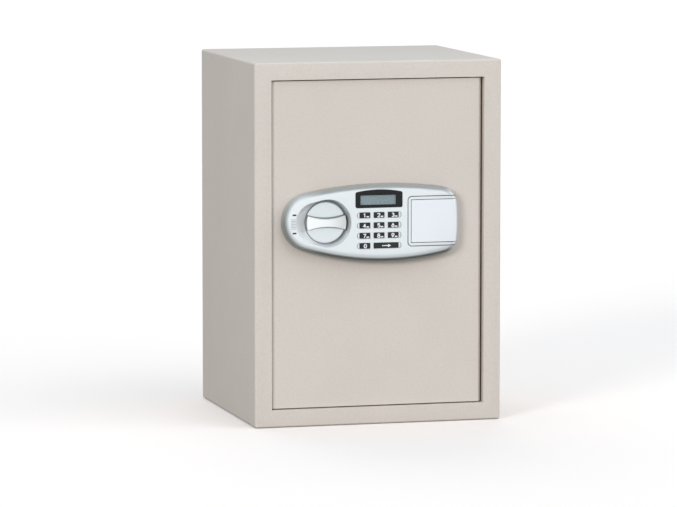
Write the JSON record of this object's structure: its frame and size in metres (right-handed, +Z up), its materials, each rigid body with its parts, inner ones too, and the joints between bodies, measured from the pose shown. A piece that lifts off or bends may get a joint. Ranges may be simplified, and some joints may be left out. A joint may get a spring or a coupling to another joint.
{
  "type": "in-room safe",
  "caption": "Free-standing in-room safe: a folded steel cabinet, a right-hung inset door with a knob-thrown bolt lock, and an oval keypad panel with a display.",
  "frame": {"origin": "centre of the cabinet's footprint, on its bottom face", "axes": "+X to the right seen from the front, +Y towards the back, +Z up; the door faces -Y"},
  "size_m": [0.35, 0.3252, 0.5],
  "materials": {
    "paint": "satin fine-texture powder coat",
    "silver": "satin silver paint",
    "cover_plastic": "satin",
    "black_plastic": "fine texture",
    "bezel_black": "gloss",
    "key_rubber": "matt",
    "window": "clear",
    "display": "grey-green liquid crystal",
    "steel": "bright turned",
    "zinc": "zinc plated sheet",
    "brass": "turned",
    "felt": "needled felt",
    "board": "solder mask",
    "cell": "printed sleeve",
    "coil": "taped coil",
    "red": "moulded"
  },
  "bodies": {
    "cabinet": {"body_shell": "paint", "back_panel": "paint", "floor_mat": "felt", "shelf": "paint", "base_plug_left": "black_plastic", "base_plug_right": "black_plastic", "back_plug_left": "black_plastic", "back_plug_right": "black_plastic", "hinge_pin_bottom": "steel", "hinge_pin_top": "steel"},
    "door": {"door_plate": "paint", "inner_cover": "paint", "hinge_block_bottom": "zinc", "hinge_block_top": "zinc", "cover_screw_1": "steel", "cover_screw_2": "steel", "cover_screw_3": "steel", "cover_screw_4": "steel", "bolt_guide_top": "zinc", "bolt_guide_bottom": "zinc", "solenoid_body": "coil", "override_lock_body": "brass", "control_board": "board", "cable_loom": "key_rubber", "battery_box": "black_plastic", "battery_cell_1": "cell", "battery_cell_2": "cell", "battery_cell_3": "cell", "battery_cell_4": "cell", "panel_housing": "silver", "display_bezel": "bezel_black", "display_window": "window", "display_module": "display", "keypad_mat": "key_rubber", "keypad_board": "board"},
    "knob_assembly": {"knob": "silver", "knob_spindle": "steel", "drive_crank": "zinc"},
    "bolt_work": {"bolt_carriage": "zinc", "blocker_lug": "zinc", "bolt_top": "steel", "bolt_bottom": "steel"},
    "plunger": {"solenoid_plunger": "steel"},
    "override": {"override_plug": "brass", "override_cam": "zinc"},
    "sliding_cover": {"override_cover": "cover_plastic"},
    "battery_door": {"battery_lid": "black_plastic"},
    "reset": {"reset_button": "red"},
    "key_body_0": {"key_0": "key_rubber"},
    "key_body_1": {"key_1": "key_rubber"},
    "key_body_2": {"key_2": "key_rubber"},
    "key_body_3": {"key_3": "key_rubber"},
    "key_body_4": {"key_4": "key_rubber"},
    "key_body_5": {"key_5": "key_rubber"},
    "key_body_6": {"key_6": "key_rubber"},
    "key_body_7": {"key_7": "key_rubber"},
    "key_body_8": {"key_8": "key_rubber"},
    "key_body_9": {"key_9": "key_rubber"},
    "key_body_enter": {"key_enter": "key_rubber"}
  },
  "joints": [
    {"name": "door_hinge", "type": "hinge", "parent": "cabinet", "child": "door", "pos_m": [0.1374, -0.141, 0.25], "axis": [0, 0, 1], "range_deg": [0, 100]},
    {"name": "knob_turn", "type": "hinge", "parent": "door", "child": "knob_assembly", "pos_m": [-0.0753, -0.151, 0.2804], "axis": [0, -1, 0], "range_deg": [0, 90]},
    {"name": "bolt_throw", "type": "slide", "parent": "door", "child": "bolt_work", "axis": [-1, 0, 0], "range_m": [0, 0.018]},
    {"name": "plunger_lift", "type": "slide", "parent": "door", "child": "plunger", "axis": [0, 0, 1], "range_m": [0, 0.012]},
    {"name": "override_turn", "type": "hinge", "parent": "door", "child": "override", "pos_m": [0.058, -0.151, 0.2664], "axis": [0, -1, 0], "range_deg": [0, 90]},
    {"name": "cover_slide", "type": "slide", "parent": "door", "child": "sliding_cover", "axis": [-1, 0, 0], "range_m": [-0.06, 0]},
    {"name": "battery_lid_lift", "type": "slide", "parent": "door", "child": "battery_door", "axis": [0, 1, 0], "range_m": [0, 0.015]},
    {"name": "reset_press", "type": "slide", "parent": "door", "child": "reset", "axis": [0, -1, 0], "range_m": [0, 0.002]},
    {"name": "press_0", "type": "slide", "parent": "door", "child": "key_body_0", "axis": [0, 1, 0], "range_m": [0, 0.001]},
    {"name": "press_1", "type": "slide", "parent": "door", "child": "key_body_1", "axis": [0, 1, 0], "range_m": [0, 0.001]},
    {"name": "press_2", "type": "slide", "parent": "door", "child": "key_body_2", "axis": [0, 1, 0], "range_m": [0, 0.001]},
    {"name": "press_3", "type": "slide", "parent": "door", "child": "key_body_3", "axis": [0, 1, 0], "range_m": [0, 0.001]},
    {"name": "press_4", "type": "slide", "parent": "door", "child": "key_body_4", "axis": [0, 1, 0], "range_m": [0, 0.001]},
    {"name": "press_5", "type": "slide", "parent": "door", "child": "key_body_5", "axis": [0, 1, 0], "range_m": [0, 0.001]},
    {"name": "press_6", "type": "slide", "parent": "door", "child": "key_body_6", "axis": [0, 1, 0], "range_m": [0, 0.001]},
    {"name": "press_7", "type": "slide", "parent": "door", "child": "key_body_7", "axis": [0, 1, 0], "range_m": [0, 0.001]},
    {"name": "press_8", "type": "slide", "parent": "door", "child": "key_body_8", "axis": [0, 1, 0], "range_m": [0, 0.001]},
    {"name": "press_9", "type": "slide", "parent": "door", "child": "key_body_9", "axis": [0, 1, 0], "range_m": [0, 0.001]},
    {"name": "press_enter", "type": "slide", "parent": "door", "child": "key_body_enter", "axis": [0, 1, 0], "range_m": [0, 0.001]}
  ],
  "couplings": [
    {"joint": "knob_turn", "follows": "bolt_throw", "rad_per_m": 87.266}
  ]
}
